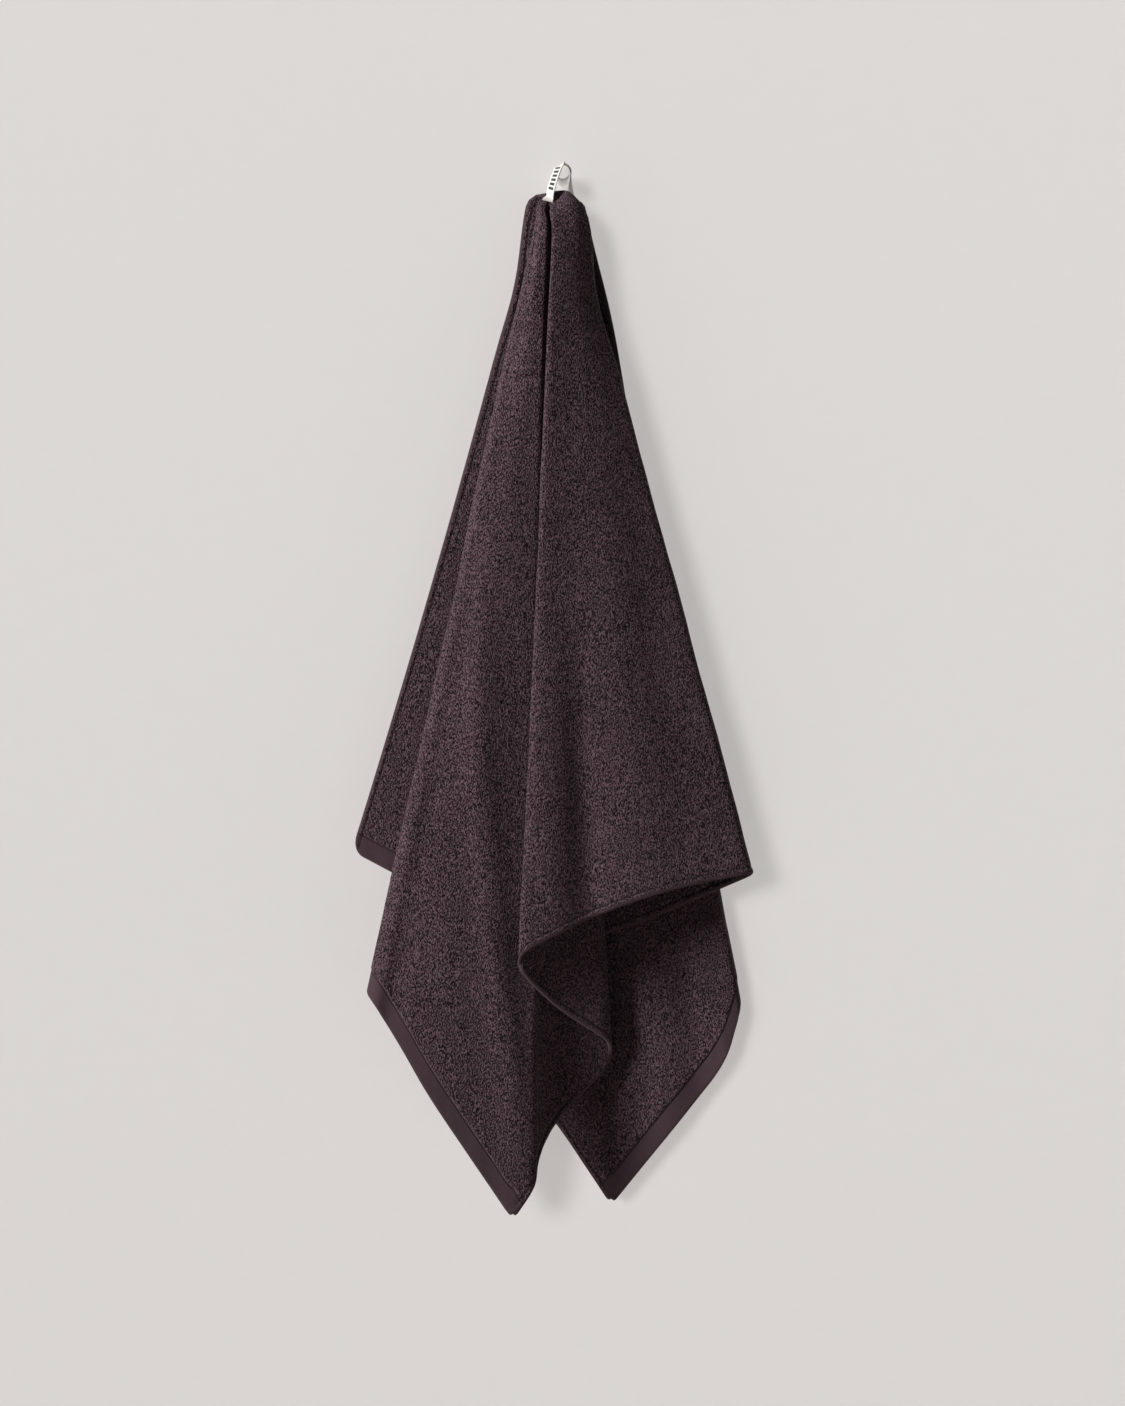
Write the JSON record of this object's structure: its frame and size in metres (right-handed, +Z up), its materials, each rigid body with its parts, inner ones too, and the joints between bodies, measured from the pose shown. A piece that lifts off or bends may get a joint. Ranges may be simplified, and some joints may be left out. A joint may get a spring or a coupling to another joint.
{
  "type": "bath towel on wall hook",
  "caption": "Dark terry bath towel hanging in long uneven folds from a sewn tape loop over a plain round wall peg, its corners pointing down.",
  "frame": {"origin": "centre of the peg's flat wall face", "axes": "+Y points out of the wall face into the wall, the room is at -Y, +X is to the right as seen from the room, +Z is up"},
  "size_m": [0.3857, 0.1084, 1.0021],
  "materials": {
    "towel_terry": "dark aubergine cotton terry, matte pile",
    "loop_tape": "off-white woven cotton tape with short black bars",
    "hook_paint": "off-white satin paint"
  },
  "bodies": {
    "root": {"towel": "towel_terry", "loop": "loop_tape", "hook": "hook_paint"}
  },
  "joints": []
}
